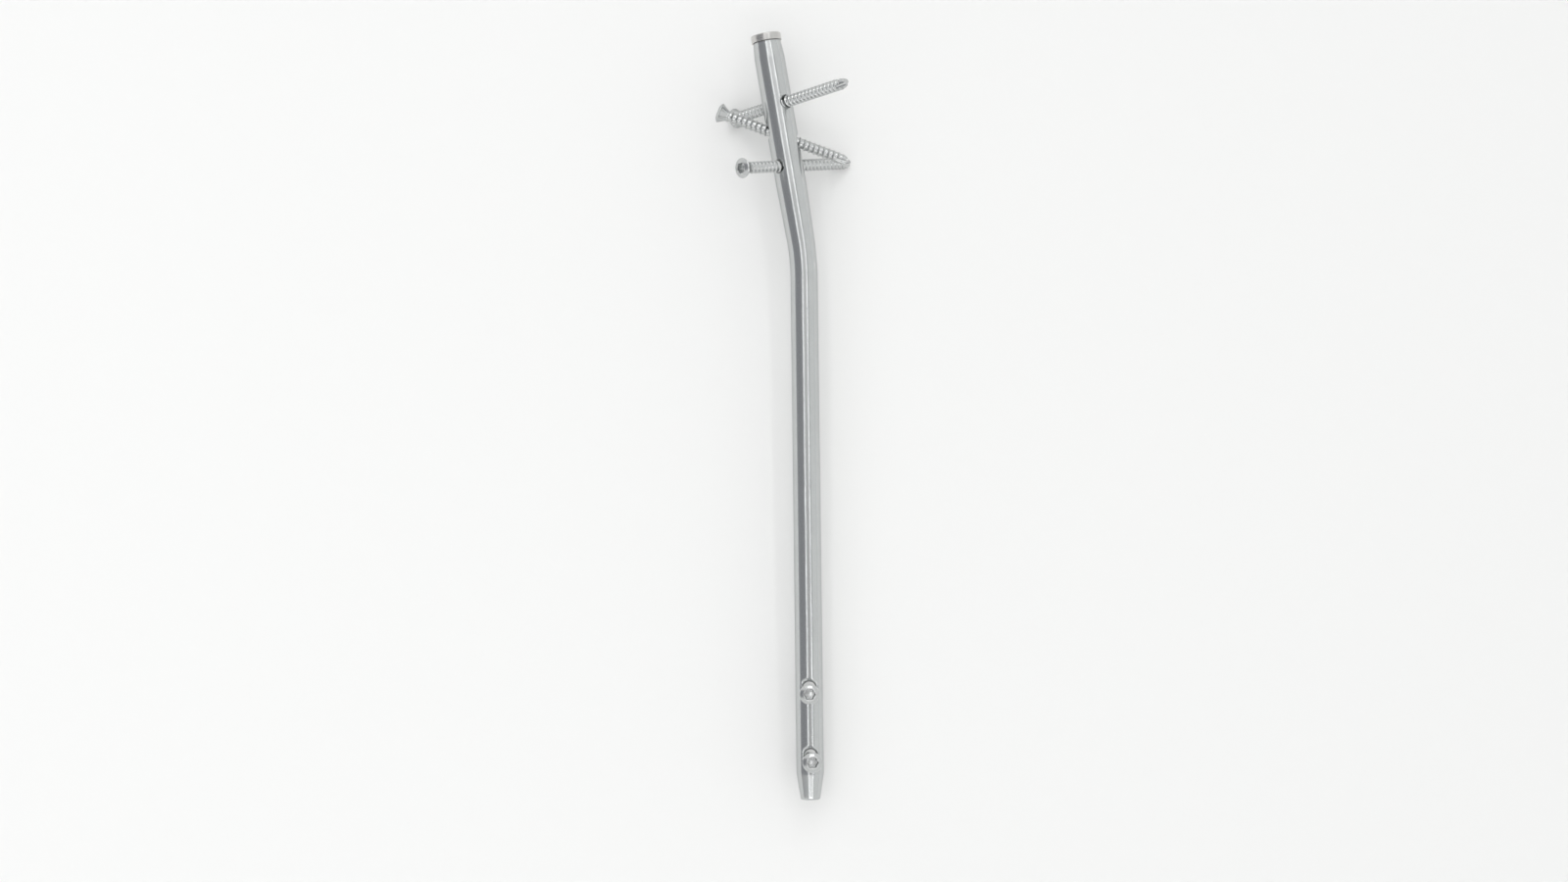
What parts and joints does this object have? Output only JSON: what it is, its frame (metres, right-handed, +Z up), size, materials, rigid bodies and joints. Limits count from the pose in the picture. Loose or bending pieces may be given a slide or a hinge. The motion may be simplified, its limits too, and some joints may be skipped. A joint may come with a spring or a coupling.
{
  "type": "humeral intramedullary nail",
  "caption": "Bent cannulated bone nail with an end cap, three long locking screws in three directions at the top and two short ones through slots at the tip.",
  "frame": {"origin": "under the middle of the part's box, on the surface that it lies on", "axes": "+Z up; +Y along the nail from its tip towards its cap; +X to the right as seen from above with the cap away from the viewer. The assembly lies on its back, on the head of the upper proximal screw, the tip of the lower proximal screw and the tip of the lower distal screw"},
  "size_m": [0.0468, 0.2528, 0.0444],
  "materials": {
    "nail_metal": "satin polished titanium alloy with fine lengthwise polishing lines",
    "cap_metal": "turned titanium alloy, satin",
    "screw_metal": "turned titanium alloy, bright satin"
  },
  "bodies": {
    "root": {"nail": "nail_metal", "end_cap": "cap_metal", "proximal_screw_upper": "screw_metal", "proximal_screw_oblique": "screw_metal", "proximal_screw_lower": "screw_metal", "distal_screw_upper": "screw_metal", "distal_screw_lower": "screw_metal"}
  },
  "joints": []
}
